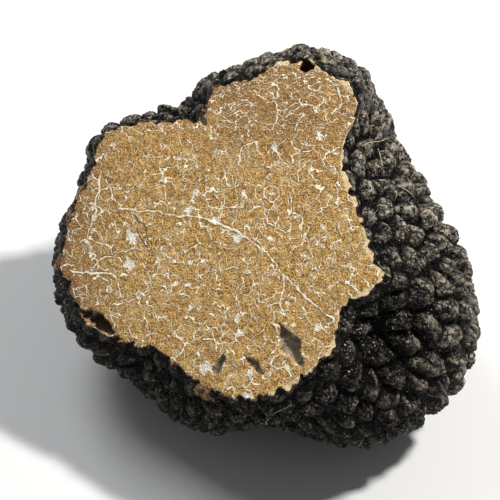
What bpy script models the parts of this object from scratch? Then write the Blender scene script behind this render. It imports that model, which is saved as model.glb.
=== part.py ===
"""A black truffle with one side sliced off, resting on a small flat spot of its rind.

The truffle grew as one piece, so it is one solid. Its surface is worked out from the
middle of the body: two outlines, the slice and the girth, and a rounded back give the
smooth body, and polygonal warts with furrows between them are raised from that. A flat
slice is then taken off, and the hollows that the slice laid open are carved.

Lengths are millimetres until the mesh is written, in metres, +Z up.
"""

import functools
import math

import bmesh
import bpy
import numpy as np
from mathutils import Matrix, Vector
from mathutils.kdtree import KDTree

MM = 0.001

# The body's own axes: the girth leans back, so that the slice looks up and forward
LEAN = math.radians(50.0)
RIGHT = np.array((1.0, 0.0, 0.0))
RISE = np.array((0.0, math.sin(LEAN), math.cos(LEAN)))
FRONT = np.array((0.0, -math.cos(LEAN), math.sin(LEAN)))

# The middle of the body. It is a little off the Z axis, because the box round the truffle
# stands centred on it
BODY_CENTRE = np.array((0.5, -2.4, 25.4))

# Outlines of the girth and of the slice, as points to the right of the middle and up from
# it, seen along the front axis, anticlockwise from the right
GIRTH_OUTLINE = (
    ((29.5, 0.0), (26.5, 5.0), (21.5, 13.0), (17.5, 20.5), (15.0, 26.0), (10.5, 29.5)),
    ((4.0, 30.5), (-3.0, 28.5), (-9.0, 26.0), (-13.0, 22.5), (-18.5, 21.0), (-24.5, 19.0)),
    ((-27.0, 15.5), (-28.5, 9.5), (-31.5, 3.5), (-32.0, -5.0), (-28.5, -12.5)),
    ((-19.5, -19.5), (-13.5, -24.5), (-8.0, -26.5), (0.0, -25.0), (6.0, -27.0)),
    ((14.0, -28.5), (22.0, -25.5), (28.0, -19.5), (30.5, -11.5), (30.5, -5.0)),
)
SLICE_OUTLINE = (
    ((15.0, 0.0), (13.5, 6.0), (11.0, 12.0), (11.0, 16.5), (12.5, 20.0), (12.5, 23.5)),
    ((7.5, 27.5), (3.0, 28.5), (-2.5, 26.5), (-8.0, 25.0), (-9.5, 20.5), (-14.0, 20.0)),
    ((-21.0, 19.5), (-25.5, 17.5), (-26.5, 12.5), (-29.5, 6.5), (-31.5, -1.0)),
    ((-29.5, -5.0), (-28.0, -9.5), (-23.0, -12.5), (-17.0, -14.0), (-12.0, -18.0)),
    ((-8.5, -20.0), (-2.5, -21.0), (4.0, -18.5), (9.0, -14.0), (11.0, -8.0)),
    ((14.0, -5.5), (16.5, -3.5)),
)
OUTLINE_STEPS = 8
BACK_RADIUS = 26.0

# The slice: its distance from the middle, and how far it turns left and up from the front
SLICE_DISTANCE = 13.0
SLICE_TURN_LEFT = math.radians(22.0)
SLICE_TURN_UP = math.radians(5.0)
GIRTH_BEHIND_SLICE = math.radians(12.0)

# Lobes and folds of the body: angle round the front axis, angle back from it, height and
# spread. A negative height is a fold
LOBES = (
    (-38.0, 52.0, -3.0, 13.0),
    (-28.0, 70.0, 1.5, 16.0),
    (205.0, 132.0, 2.0, 22.0),
    (55.0, 128.0, 2.4, 24.0),
    (100.0, 150.0, -2.4, 15.0),
    (345.0, 125.0, -1.8, 14.0),
    (305.0, 138.0, -2.2, 18.0),
)
LOBE_RIM_FADE = math.radians(10.0)

# Warts. The spacing is how near to each other two of them can stand, on the left and on the
# right of the body. The relief is lower at the sliced rim
WART_PLACES_TRIED = 12000
GOLDEN_ANGLE = math.pi * (3 - math.sqrt(5))
WART_SEED = 11
WART_SPACING_LEFT = 2.5
WART_SPACING_RIGHT = 3.1
WART_HEIGHT = 0.80
WART_HEIGHT_SPREAD = 0.35
FURROW_DEPTH = 0.90
FURROW_DEPTH_SPREAD = 0.2
SHOULDER_AT = 0.66
SHOULDER_HEIGHT = 0.35
SHORTEST_FURROW = 0.55
RIM_RELIEF = 0.45
RIM_RELIEF_REACH = math.radians(9.0)

# Hollows in the slice: place to the right and up the slice from the middle, length across,
# length up, depth and turn
HOLLOWS = (
    (5.2, 27.0, 1.3, 1.6, 2.6, 0.0),
    (-6.8, -21.4, 3.2, 2.9, 2.6, 20.0),
    (3.2, -12.6, 2.2, 6.4, 1.0, 25.0),
    (-7.6, -16.0, 2.0, 3.6, 0.8, -20.0),
    (-23.8, -9.8, 3.6, 1.4, 0.9, -35.0),
)


def unit(vectors):
    """The same directions with length 1."""
    return vectors / np.linalg.norm(vectors, axis=-1, keepdims=True)


def slice_normal():
    """The direction that the sliced face looks in."""
    left = -math.sin(SLICE_TURN_LEFT) * math.cos(SLICE_TURN_UP)
    up = math.sin(SLICE_TURN_UP)
    ahead = math.cos(SLICE_TURN_LEFT) * math.cos(SLICE_TURN_UP)
    return left * RIGHT + up * RISE + ahead * FRONT


@functools.cache
def outline_curve(outline):
    """Angles and distances along a smooth closed curve through an outline's points."""
    points = np.concatenate(outline)
    before, end, after = (np.roll(points, shift, axis=0) for shift in (1, -1, -2))
    t = (np.arange(OUTLINE_STEPS) / OUTLINE_STEPS)[:, None, None]
    bend = 2 * before - 5 * points + 4 * end - after
    twist = 3 * (points - end) + after - before
    curve = points + 0.5 * t * (end - before + t * (bend + t * twist))
    across, up = curve.reshape(-1, 2).T
    return np.arctan2(up, across), np.hypot(across, up)


def outline_at(outline, angle):
    """How far an outline is from the middle at an angle."""
    angles, distances = outline_curve(outline)
    return np.interp(angle, angles, distances, period=2 * math.pi)


def ease(share):
    """0 to 1 with level ends."""
    share = np.clip(share, 0.0, 1.0)
    return share * share * (3 - 2 * share)


def direction_at(around, back):
    """The direction at an angle round the front axis and an angle back from it."""
    flat = np.cos(around)[..., None] * RIGHT + np.sin(around)[..., None] * RISE
    return np.sin(back)[..., None] * flat + np.cos(back)[..., None] * FRONT


def slice_rim(around):
    """The rim of the slice at an angle: its angle back and its distance from the middle."""
    normal = slice_normal()
    flat = outline_at(SLICE_OUTLINE, around)
    tilt = np.cos(around) * (normal @ RIGHT) + np.sin(around) * (normal @ RISE)
    ahead = (SLICE_DISTANCE - flat * tilt) / (normal @ FRONT)
    return np.arctan2(flat, ahead), np.hypot(flat, ahead)


def behind_rim(directions):
    """How many radians behind the sliced rim each direction points."""
    around = np.arctan2(directions @ RISE, directions @ RIGHT)
    back = np.arccos(np.clip(directions @ FRONT, -1.0, 1.0))
    return np.maximum(back - slice_rim(around)[0], 0.0)


def body_radius(directions):
    """How far the smooth body reaches from its middle in each direction."""
    around = np.arctan2(directions @ RISE, directions @ RIGHT)
    back = np.arccos(np.clip(directions @ FRONT, -1.0, 1.0))
    rim_back, rim_radius = slice_rim(around)
    girth_back = np.maximum(math.pi / 2, rim_back + GIRTH_BEHIND_SLICE)
    girth_radius = outline_at(GIRTH_OUTLINE, around) / np.sin(girth_back)

    to_girth = ease((back - rim_back) / (girth_back - rim_back))
    to_back = ease((back - girth_back) / (math.pi - girth_back))
    radius = rim_radius + (girth_radius - rim_radius) * to_girth
    radius = radius + (BACK_RADIUS - radius) * to_back

    fade = 1 - np.exp(-((behind_rim(directions) / LOBE_RIM_FADE) ** 2))
    for lobe_around, lobe_back, height, spread in LOBES:
        middle = direction_at(*np.radians((lobe_around, lobe_back)))
        away = np.arccos(np.clip(directions @ middle, -1.0, 1.0))
        radius = radius + fade * height * np.exp(-((away / math.radians(spread)) ** 2))
    return radius


def wart_seeds(draw):
    """Directions of the warts: places on an even spiral over the body are tried in a random
    order, and each that is far enough from the warts already there becomes one."""
    count = draw.permutation(WART_PLACES_TRIED)
    height = 1 - (2 * count + 1) / WART_PLACES_TRIED
    turn = count * GOLDEN_ANGLE
    flat = np.sqrt(1 - height**2)
    tried = np.stack((flat * np.cos(turn), flat * np.sin(turn), height), axis=1)

    points = tried * body_radius(tried)[:, None]
    to_right = ease(0.5 + points @ RIGHT / (2 * BACK_RADIUS))
    spacing = WART_SPACING_LEFT + (WART_SPACING_RIGHT - WART_SPACING_LEFT) * to_right
    kept = []
    free = np.ones(WART_PLACES_TRIED, dtype=bool)
    for index, point in enumerate(points):
        if free[index]:
            kept.append(index)
            free &= np.linalg.norm(points - point, axis=1) >= spacing[index]
    return tried[kept]


def seed_triangles(seeds):
    """The triangles that join neighbouring seeds: the hull of points on a sphere."""
    hull = bmesh.new()
    for seed in seeds:
        hull.verts.new(seed)
    hull.verts.index_update()
    made = bmesh.ops.convex_hull(hull, input=hull.verts)
    faces = [f for f in made["geom"] if isinstance(f, bmesh.types.BMFace)]
    triangles = np.array([[v.index for v in face.verts] for face in faces])
    hull.free()
    return triangles


def furrow_corners(seeds, triangles):
    """Where three or more warts meet, and the corner that each triangle stands for.

    Corners closer together than the shortest furrow are made one."""
    a, b, c = (seeds[triangles[:, k]] for k in range(3))
    meet = unit(np.cross(b - a, c - a))
    meet *= np.sign(np.sum(meet * a, axis=1, keepdims=True))
    tree = KDTree(len(meet))
    for index, point in enumerate(meet):
        tree.insert(point, index)
    tree.balance()
    joined = np.arange(len(meet))
    for index, point in enumerate(meet):
        if joined[index] != index:
            continue
        for _, near, _ in tree.find_range(point, SHORTEST_FURROW / BACK_RADIUS):
            if joined[near] == near and near > index:
                joined[near] = index
    return meet, joined


def wart_outlines(seeds, triangles, joined):
    """For each wart, its corners in order round it."""
    around = [{} for _ in seeds]
    for index, triangle in enumerate(triangles):
        for k in range(3):
            seed, after, before = (triangle[(k + s) % 3] for s in range(3))
            around[seed][after] = (before, index)
    outlines = []
    for ring in around:
        neighbour = first = min(ring)
        corners = []
        while True:
            neighbour, index = ring[neighbour]
            corner = joined[index]
            if not corners or corners[-1] != corner:
                corners.append(corner)
            if neighbour == first:
                break
        if len(corners) > 1 and corners[0] == corners[-1]:
            corners.pop()
        outlines.append(corners)
    return outlines


def place(directions, height):
    """Points on the body, raised by a height, none below the surface it rests on."""
    relief = 1 - (1 - RIM_RELIEF) * np.exp(-((behind_rim(directions) / RIM_RELIEF_REACH) ** 2))
    reach = body_radius(directions) + relief * height
    points = BODY_CENTRE + directions * reach[:, None]
    points[:, 2] = np.maximum(points[:, 2], 0.0)
    return points


def warty_body():
    """The whole truffle before it is sliced: each wart is a shouldered, faceted dome."""
    draw = np.random.default_rng(WART_SEED)
    seeds = wart_seeds(draw)
    triangles = seed_triangles(seeds)
    meet, joined = furrow_corners(seeds, triangles)
    outlines = wart_outlines(seeds, triangles, joined)
    heights = WART_HEIGHT * (1 + draw.uniform(-1, 1, len(seeds)) * WART_HEIGHT_SPREAD)
    depths = FURROW_DEPTH * (1 + draw.uniform(-1, 1, len(meet)) * FURROW_DEPTH_SPREAD)

    mesh = bmesh.new()
    tops = [mesh.verts.new(p) for p in place(seeds, heights)]
    furrows = {}
    used = sorted({corner for outline in outlines for corner in outline})
    for corner, point in zip(used, place(meet[used], -depths[used])):
        furrows[corner] = mesh.verts.new(point)
    for seed, (outline, top) in enumerate(zip(outlines, tops)):
        if len(outline) < 3:
            raise ValueError("a wart has fewer than three sides")
        shoulder = unit(seeds[seed] + (meet[outline] - seeds[seed]) * SHOULDER_AT)
        raised = np.full(len(outline), heights[seed] * SHOULDER_HEIGHT)
        ring = [mesh.verts.new(p) for p in place(shoulder, raised)]
        for k, corner in enumerate(outline):
            after = (k + 1) % len(outline)
            low, low_after = furrows[corner], furrows[outline[after]]
            mesh.faces.new((low, low_after, ring[after]))
            mesh.faces.new((low, ring[after], ring[k]))
            mesh.faces.new((ring[k], ring[after], top))
    bmesh.ops.recalc_face_normals(mesh, faces=mesh.faces)
    return mesh


def slice_off(mesh):
    """Takes the slice off, and closes the cut with one flat face of flesh."""
    normal = Vector(slice_normal())
    at = Vector(BODY_CENTRE) + normal * SLICE_DISTANCE
    everything = mesh.verts[:] + mesh.edges[:] + mesh.faces[:]
    bmesh.ops.bisect_plane(
        mesh, geom=everything, dist=1e-4, plane_co=at, plane_no=normal, clear_outer=True
    )
    rim = [edge for edge in mesh.edges if edge.is_boundary]
    made = bmesh.ops.edgeloop_fill(mesh, edges=rim)
    for face in made["faces"]:
        face.material_index = 1


def plain_material(name, colour, roughness):
    """A material of one colour."""
    material = bpy.data.materials.new(name)
    material.use_nodes = True
    shader = material.node_tree.nodes["Principled BSDF"]
    shader.inputs["Base Color"].default_value = (*colour, 1.0)
    shader.inputs["Roughness"].default_value = roughness
    shader.inputs["Metallic"].default_value = 0.0
    material.diffuse_color = (*colour, 1.0)
    return material


def hollow_cutter(index, across, up, width, length, depth, turn):
    """A rounded cutter half sunk in the slice."""
    normal = slice_normal()
    flat_right = unit(RIGHT - normal * (RIGHT @ normal))
    flat_up = np.cross(normal, flat_right)
    lift = SLICE_DISTANCE - normal @ (across * RIGHT + up * RISE)
    ahead = lift / (normal @ FRONT)
    at = BODY_CENTRE + across * RIGHT + up * RISE + ahead * FRONT

    mesh = bmesh.new()
    bmesh.ops.create_icosphere(mesh, subdivisions=2, radius=1.0)
    size = Matrix.Diagonal((width / 2, length / 2, depth, 1.0))
    turned = Matrix.Rotation(math.radians(turn), 4, "Z")
    axes = Matrix((flat_right, flat_up, normal)).transposed().to_4x4()
    mesh.transform(
        Matrix.Scale(MM, 4) @ Matrix.Translation(at) @ axes @ turned @ size
    )
    cutter = new_object(f"hollow_cutter_{index}", mesh)
    cutter.hide_render = True
    cutter.display_type = "WIRE"
    return cutter


def new_object(name, mesh):
    """An object made from a finished bmesh."""
    data = bpy.data.meshes.new(name)
    mesh.to_mesh(data)
    mesh.free()
    made = bpy.data.objects.new(name, data)
    bpy.context.scene.collection.objects.link(made)
    return made


def build_truffle():
    """The sliced truffle with its hollows."""
    mesh = warty_body()
    slice_off(mesh)
    mesh.transform(Matrix.Scale(MM, 4))
    truffle = new_object("truffle", mesh)
    truffle.data.materials.append(plain_material("rind", (0.022, 0.020, 0.018), 0.6))
    truffle.data.materials.append(plain_material("flesh", (0.50, 0.33, 0.15), 0.7))
    for index, hollow in enumerate(HOLLOWS):
        carve = truffle.modifiers.new(f"hollow_{index}", "BOOLEAN")
        carve.operation = "DIFFERENCE"
        carve.object = hollow_cutter(index, *hollow)
    return truffle


for old in list(bpy.data.objects):
    bpy.data.objects.remove(old)
build_truffle()
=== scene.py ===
"""A sliced black truffle: its warty black rind, the veined flesh that the slice lays bare, and
a few dry root fibres caught on the rind.

Lengths are millimetres until a mesh is written, in metres, +Z up.
"""

import math

import bmesh
import bpy
import numpy as np
from mathutils import Matrix, Vector, noise
from mathutils.bvhtree import BVHTree


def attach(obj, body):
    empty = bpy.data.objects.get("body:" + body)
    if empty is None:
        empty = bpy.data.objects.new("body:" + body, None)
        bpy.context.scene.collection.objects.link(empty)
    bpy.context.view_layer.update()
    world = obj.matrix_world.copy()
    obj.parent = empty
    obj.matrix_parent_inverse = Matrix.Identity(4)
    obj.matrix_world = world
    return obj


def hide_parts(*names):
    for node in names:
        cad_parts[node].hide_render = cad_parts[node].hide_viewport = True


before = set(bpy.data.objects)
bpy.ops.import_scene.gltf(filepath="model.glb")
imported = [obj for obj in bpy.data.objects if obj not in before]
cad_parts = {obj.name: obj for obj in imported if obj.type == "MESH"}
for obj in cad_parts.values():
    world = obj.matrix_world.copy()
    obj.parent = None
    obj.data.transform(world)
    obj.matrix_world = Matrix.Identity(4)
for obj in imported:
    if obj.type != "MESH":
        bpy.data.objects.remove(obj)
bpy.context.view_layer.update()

# The view: a camera that looks down on the slice as the photograph does, a pale board under
# the truffle, and soft studio lights, the brightest of them high on the right.
MM = 0.001
LEAN = math.radians(50.0)
RIGHT = np.array((1.0, 0.0, 0.0))
RISE = np.array((0.0, math.sin(LEAN), math.cos(LEAN)))
FRONT = np.array((0.0, -math.cos(LEAN), math.sin(LEAN)))
BODY_CENTRE = np.array((0.5, -2.4, 25.4))
PICTURE_WIDTH = 75.0
PICTURE_MIDDLE = (-2.7, 0.75)
CAMERA_DISTANCE = 360.0
NEAREST_SEEN = 10.0
BOARD_WIDTH = 3000.0
BOARD_COLOUR = (0.74, 0.74, 0.74)
BOARD_ROUGHNESS = 0.8
ROOM_COLOUR = (1.0, 1.0, 1.0)
ROOM_BRIGHTNESS = 0.17
# Each light: its place right, up and ahead in the picture, its width, its watts, its colour.
STUDIO_LIGHTS = {
    "key": ((180.0, 200.0, 200.0), 30.0, 1.45, (1.0, 0.98, 0.95)),
    "sky": ((-130.0, 280.0, 140.0), 160.0, 0.6, (0.96, 0.98, 1.0)),
}


def seen_from_camera(right, up, ahead):
    """A point given by its place in the picture and its distance towards the camera."""
    return BODY_CENTRE + right * RIGHT + up * RISE + ahead * FRONT


def add_camera():
    """The camera, square to the picture's own axes."""
    lens = bpy.data.cameras.new("camera")
    lens.lens = lens.sensor_width * CAMERA_DISTANCE / PICTURE_WIDTH
    lens.clip_start = NEAREST_SEEN * MM
    camera = bpy.data.objects.new("camera", lens)
    camera.matrix_world = Matrix((RIGHT, RISE, FRONT)).transposed().to_4x4()
    camera.location = Vector(seen_from_camera(*PICTURE_MIDDLE, CAMERA_DISTANCE)) * MM
    bpy.context.scene.collection.objects.link(camera)
    bpy.context.scene.camera = camera


def add_light(name, place, width, watts, colour):
    """A square soft light, turned to the middle of the truffle."""
    lamp = bpy.data.lights.new(name, "AREA")
    lamp.size = width * MM
    lamp.energy = watts
    lamp.color = colour
    light = bpy.data.objects.new(name, lamp)
    stands_at = seen_from_camera(*place)
    light.location = Vector(stands_at) * MM
    light.rotation_euler = Vector(BODY_CENTRE - stands_at).to_track_quat("-Z", "Y").to_euler()
    bpy.context.scene.collection.objects.link(light)


def add_board():
    """The pale board that the truffle rests on."""
    material = bpy.data.materials.new("pale_board")
    material.use_nodes = True
    shader = material.node_tree.nodes["Principled BSDF"]
    shader.inputs["Base Color"].default_value = (*BOARD_COLOUR, 1.0)
    shader.inputs["Roughness"].default_value = BOARD_ROUGHNESS
    mesh = bmesh.new()
    bmesh.ops.create_grid(mesh, x_segments=1, y_segments=1, size=BOARD_WIDTH / 2 * MM)
    board = bpy.data.objects.new("board", bpy.data.meshes.new("board"))
    mesh.to_mesh(board.data)
    mesh.free()
    board.data.materials.append(material)
    bpy.context.scene.collection.objects.link(board)


def add_room():
    """The even light of a white room."""
    world = bpy.data.worlds.new("white_room")
    world.use_nodes = True
    background = world.node_tree.nodes["Background"]
    background.inputs["Color"].default_value = (*ROOM_COLOUR, 1.0)
    background.inputs["Strength"].default_value = ROOM_BRIGHTNESS
    bpy.context.scene.world = world


bpy.context.scene.view_settings.view_transform = "Standard"
add_camera()
add_board()
add_room()
for light_name, light_values in STUDIO_LIGHTS.items():
    add_light(light_name, *light_values)

# The body: the form that the rind and the flesh share. It grew as one lobed lump, worked out
# here from the outlines of its girth and of the slice, with a rounded back.
GIRTH_OUTLINE = (
    ((29.5, 0.0), (26.5, 5.0), (21.5, 13.0), (17.5, 20.5), (15.0, 26.0), (10.5, 29.5)),
    ((4.0, 30.5), (-3.0, 28.5), (-9.0, 26.0), (-13.0, 22.5), (-18.5, 21.0), (-24.5, 19.0)),
    ((-27.0, 15.5), (-28.5, 9.5), (-31.5, 3.5), (-32.0, -5.0), (-28.5, -12.5)),
    ((-19.5, -19.5), (-13.5, -24.5), (-8.0, -26.5), (0.0, -25.0), (6.0, -27.0)),
    ((14.0, -28.5), (22.0, -25.5), (28.0, -19.5), (30.5, -11.5), (30.5, -5.0)),
)
SLICE_OUTLINE = (
    ((15.0, 0.0), (13.5, 6.0), (11.0, 12.0), (11.0, 16.5), (12.5, 20.0), (12.5, 23.5)),
    ((7.5, 27.5), (3.0, 28.5), (-2.5, 26.5), (-8.0, 25.0), (-9.5, 20.5), (-14.0, 20.0)),
    ((-21.0, 19.5), (-25.5, 17.5), (-26.5, 12.5), (-29.5, 6.5), (-31.5, -1.0)),
    ((-29.5, -5.0), (-28.0, -9.5), (-23.0, -12.5), (-17.0, -14.0), (-12.0, -18.0)),
    ((-8.5, -20.0), (-2.5, -21.0), (4.0, -18.5), (9.0, -14.0), (11.0, -8.0)),
    ((14.0, -5.5), (16.5, -3.5)),
)
OUTLINE_STEPS = 8
BACK_RADIUS = 26.0
SLICE_DISTANCE = 13.0
SLICE_TURN_LEFT = math.radians(22.0)
SLICE_TURN_UP = math.radians(5.0)
GIRTH_BEHIND_SLICE = math.radians(12.0)
# Lobes and folds: the angle round, the angle back, the height in mm, and the spread.
LOBES = (
    (-38.0, 52.0, -3.0, 13.0),
    (-28.0, 70.0, 1.5, 16.0),
    (205.0, 132.0, 2.0, 22.0),
    (55.0, 128.0, 2.4, 24.0),
    (100.0, 150.0, -2.4, 15.0),
    (345.0, 125.0, -1.8, 14.0),
    (305.0, 138.0, -2.2, 18.0),
)
LOBE_RIM_FADE = math.radians(10.0)
GRAIN_FINER = 0.8
GRAIN_OCTAVE = 2.0


def unit(vectors):
    """The same directions with length 1."""
    return vectors / np.linalg.norm(vectors, axis=-1, keepdims=True)


def slice_normal():
    """The direction that the sliced face looks in."""
    left = -math.sin(SLICE_TURN_LEFT) * math.cos(SLICE_TURN_UP)
    up = math.sin(SLICE_TURN_UP)
    ahead = math.cos(SLICE_TURN_LEFT) * math.cos(SLICE_TURN_UP)
    return left * RIGHT + up * RISE + ahead * FRONT


def outline_curve(outline):
    """Angles and distances along a smooth closed curve through an outline's points."""
    points = np.concatenate(outline)
    before, end, after = (np.roll(points, shift, axis=0) for shift in (1, -1, -2))
    t = (np.arange(OUTLINE_STEPS) / OUTLINE_STEPS)[:, None, None]
    bend = 2 * before - 5 * points + 4 * end - after
    twist = 3 * (points - end) + after - before
    curve = points + 0.5 * t * (end - before + t * (bend + t * twist))
    across, up = curve.reshape(-1, 2).T
    return np.arctan2(up, across), np.hypot(across, up)


def outline_at(outline, angle):
    """How far an outline is from the middle at an angle."""
    angles, distances = outline_curve(outline)
    return np.interp(angle, angles, distances, period=2 * math.pi)


def ease(share):
    """0 to 1 with level ends."""
    share = np.clip(share, 0.0, 1.0)
    return share * share * (3 - 2 * share)


def bell(away, width):
    """1 in the middle, falling softly to nothing a few widths away."""
    return np.exp(-((away / width) ** 2))


def direction_at(around, back):
    """The direction at an angle round the front axis and an angle back from it."""
    flat = np.cos(around)[..., None] * RIGHT + np.sin(around)[..., None] * RISE
    return np.sin(back)[..., None] * flat + np.cos(back)[..., None] * FRONT


def slice_rim(around):
    """The rim of the slice at an angle: its angle back and its distance from the middle."""
    normal = slice_normal()
    flat = outline_at(SLICE_OUTLINE, around)
    tilt = np.cos(around) * (normal @ RIGHT) + np.sin(around) * (normal @ RISE)
    ahead = (SLICE_DISTANCE - flat * tilt) / (normal @ FRONT)
    return np.arctan2(flat, ahead), np.hypot(flat, ahead)


def behind_rim(directions):
    """How many radians behind the sliced rim each direction points."""
    around = np.arctan2(directions @ RISE, directions @ RIGHT)
    back = np.arccos(np.clip(directions @ FRONT, -1.0, 1.0))
    return np.maximum(back - slice_rim(around)[0], 0.0)


def body_radius(directions):
    """How far the smooth body reaches from its middle in each direction."""
    around = np.arctan2(directions @ RISE, directions @ RIGHT)
    back = np.arccos(np.clip(directions @ FRONT, -1.0, 1.0))
    rim_back, rim_radius = slice_rim(around)
    girth_back = np.maximum(math.pi / 2, rim_back + GIRTH_BEHIND_SLICE)
    girth_radius = outline_at(GIRTH_OUTLINE, around) / np.sin(girth_back)

    to_girth = ease((back - rim_back) / (girth_back - rim_back))
    to_back = ease((back - girth_back) / (math.pi - girth_back))
    radius = rim_radius + (girth_radius - rim_radius) * to_girth
    radius = radius + (BACK_RADIUS - radius) * to_back

    fade = 1 - bell(behind_rim(directions), LOBE_RIM_FADE)
    for lobe_around, lobe_back, height, spread in LOBES:
        middle = direction_at(*np.radians((lobe_around, lobe_back)))
        away = np.arccos(np.clip(directions @ middle, -1.0, 1.0))
        radius = radius + fade * height * bell(away, math.radians(spread))
    return radius


def grain(points, size, octaves):
    """Uneven natural relief, about -1 to 1, whose largest bumps are a size across."""
    scaled = (points / size).tolist()
    return np.array([noise.fractal(p, GRAIN_FINER, GRAIN_OCTAVE, octaves) for p in scaled])


# The warts of the rind: horny polygonal domes with faceted crowns, which meet in deep furrows
# and cracked from the crown outwards as they dried. They stand where the solid's own warts
# stand.
WART_PLACES_TRIED = 12000
GOLDEN_ANGLE = math.pi * (3 - math.sqrt(5))
WART_SEED = 11
WART_SPACING_LEFT = 2.5
WART_SPACING_RIGHT = 3.1
WART_HEIGHT = 0.80
WART_HEIGHT_SPREAD = 0.35
WART_UPRIGHT = FRONT + 0.3 * RIGHT
WALL_SHARE = 0.15
DOME_FULLNESS = 1.15
DOME_ROUNDNESS = 2.2
FURROW_DEPTH = 1.25
FURROW_WALL = 0.35
FURROW_FOOT = 0.5
FURROW_WANDER = 0.24
FURROW_WANDER_SIZE = 2.2
NEIGHBOURS = 9
FARTHER_THAN_ALL = 9.0
PLACES_AT_ONCE = 20000
RIM_RELIEF = 0.40
RIM_RELIEF_REACH = math.radians(9.0)
CRACKS_PER_WART = (3, 7)
FAINTER_CRACKS = 1.5
CRACK_WIDTH = 0.15
CRACK_DEPTH = 0.55
CRACK_RAGGED = 0.35
CRACK_RAGGED_SIZE = 0.9
CRACK_AT_CROWN = 0.25
CRACK_OPEN_BY = 0.6
CREASE_SIZE = 1.7
CREASE_WIDTH = 0.055
CREASE_DEPTH = 0.34
CRUST_RELIEF = 0.15
CRUST_IN_FURROW = 0.35
CRUST_SIZE = 1.2
LUMP_SIZE = 1.25
LUMP_HEIGHT = 0.12
LUMP_LEVEL = 0.6
LUMP_FOOT = 0.8
LUMP_WARP = 0.5
LUMP_WARP_SIZE = 1.1
FACETS = 6
FACET_TURN_SPREAD = 0.4
FACET_SLOPE = (0.10, 0.55)
FACET_TOP = (0.02, 0.28)
RIDGE_WIDTH = 0.09
STREAK_RUN = 0.3
STREAK_STEP = 5.0
RIM_RAGGED = 0.42
RIM_RAGGED_SIZE = 1.1
RIM_RAGGED_REACH = math.radians(4.0)
# How far each grain is moved, so that none repeats another.
CREASE_SHIFT = -57.0
CRUST_SHIFT = 31.0
RIM_RAGGED_SHIFT = 13.0


def wart_seeds(draw):
    """Directions of the warts: places on an even spiral over the body are tried in a random
    order, and each that is far enough from the warts already there becomes one."""
    count = draw.permutation(WART_PLACES_TRIED)
    height = 1 - (2 * count + 1) / WART_PLACES_TRIED
    turn = count * GOLDEN_ANGLE
    flat = np.sqrt(1 - height**2)
    tried = np.stack((flat * np.cos(turn), flat * np.sin(turn), height), axis=1)

    points = tried * body_radius(tried)[:, None]
    to_right = ease(0.5 + points @ RIGHT / (2 * BACK_RADIUS))
    spacing = WART_SPACING_LEFT + (WART_SPACING_RIGHT - WART_SPACING_LEFT) * to_right
    kept = []
    free = np.ones(WART_PLACES_TRIED, dtype=bool)
    for index, point in enumerate(points):
        if free[index]:
            kept.append(index)
            free &= np.linalg.norm(points - point, axis=1) >= spacing[index]
    return tried[kept]


draw = np.random.default_rng(WART_SEED)
warts = wart_seeds(draw)
wart_count = len(warts)
wart_heights = WART_HEIGHT * (1 + draw.uniform(-1, 1, wart_count) * WART_HEIGHT_SPREAD)
wart_tones = draw.uniform(-1, 1, wart_count)
crack_counts = draw.integers(*CRACKS_PER_WART, wart_count)
crack_turns = draw.uniform(0, 2 * math.pi, wart_count)
crack_strengths = draw.uniform(0.0, 1.0, wart_count) ** FAINTER_CRACKS
facet_spread = draw.uniform(-FACET_TURN_SPREAD, FACET_TURN_SPREAD, (wart_count, FACETS))
facet_turns = 2 * math.pi * ((np.arange(FACETS) + facet_spread) / FACETS) + crack_turns[:, None]
facet_slopes = draw.uniform(*FACET_SLOPE, (wart_count, FACETS))
facet_tops = draw.uniform(*FACET_TOP, (wart_count, FACETS))
wart_across = unit(np.cross(warts, WART_UPRIGHT))
wart_along = np.cross(warts, wart_across)
gaps = np.linalg.norm(warts[:, None] - warts[None], axis=2)
wart_reach = (gaps + FARTHER_THAN_ALL * np.eye(wart_count)).min(axis=1) / 2


def swirl(points, size):
    """A smooth wandering vector at each point, whose bends are a size across."""
    return np.array([noise.noise_vector(p) for p in (points / size).tolist()])


def lumps(points, size):
    """Small rounded lumps packed close together, each about a size across: 0 at their edges
    and up to 1 on top."""
    nearest = [noise.voronoi(p)[0] for p in (points / size).tolist()]
    first, second = np.array(nearest)[:, :2].T
    return np.sqrt(np.clip((second - first) / (second + first), 0.0, 1.0))


def own_wart(directions):
    """The wart that each direction is on, and how far the furrow round it is, as a share of
    the body's radius."""
    near = []
    for some in np.array_split(directions, 1 + len(directions) // PLACES_AT_ONCE):
        match = some @ warts.T
        near.append(np.argpartition(-match, NEIGHBOURS, axis=1)[:, :NEIGHBOURS])
    near = np.concatenate(near)
    match = np.einsum("pk,pnk->pn", directions, warts[near])
    order = np.argsort(-match, axis=1)
    near = np.take_along_axis(near, order, axis=1)
    match = np.take_along_axis(match, order, axis=1)
    own = near[:, 0]
    apart = np.linalg.norm(warts[near[:, 1:]] - warts[own][:, None], axis=2)
    return own, ((match[:, :1] - match[:, 1:]) / apart).min(axis=1)


def crown_cracks(smooth, own, across, along, on_wart):
    """The cracks that run out from each crown, and a place on a grain that runs their way."""
    ragged = grain(smooth, CRACK_RAGGED_SIZE, octaves=3)
    around = np.arctan2(along, across) + CRACK_RAGGED * ragged + crack_turns[own]
    away = np.hypot(across, along)
    outwards = STREAK_RUN * away + STREAK_STEP * own
    half_turns = crack_counts[own] / 2
    beside_crack = away * np.abs(np.sin(half_turns * around)) / half_turns
    crack = bell(beside_crack, CRACK_WIDTH) * crack_strengths[own]
    crack *= on_wart * ease((away + CRACK_AT_CROWN) / CRACK_OPEN_BY)
    return crack, np.stack((np.cos(around), np.sin(around), outwards), axis=1)


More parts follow.
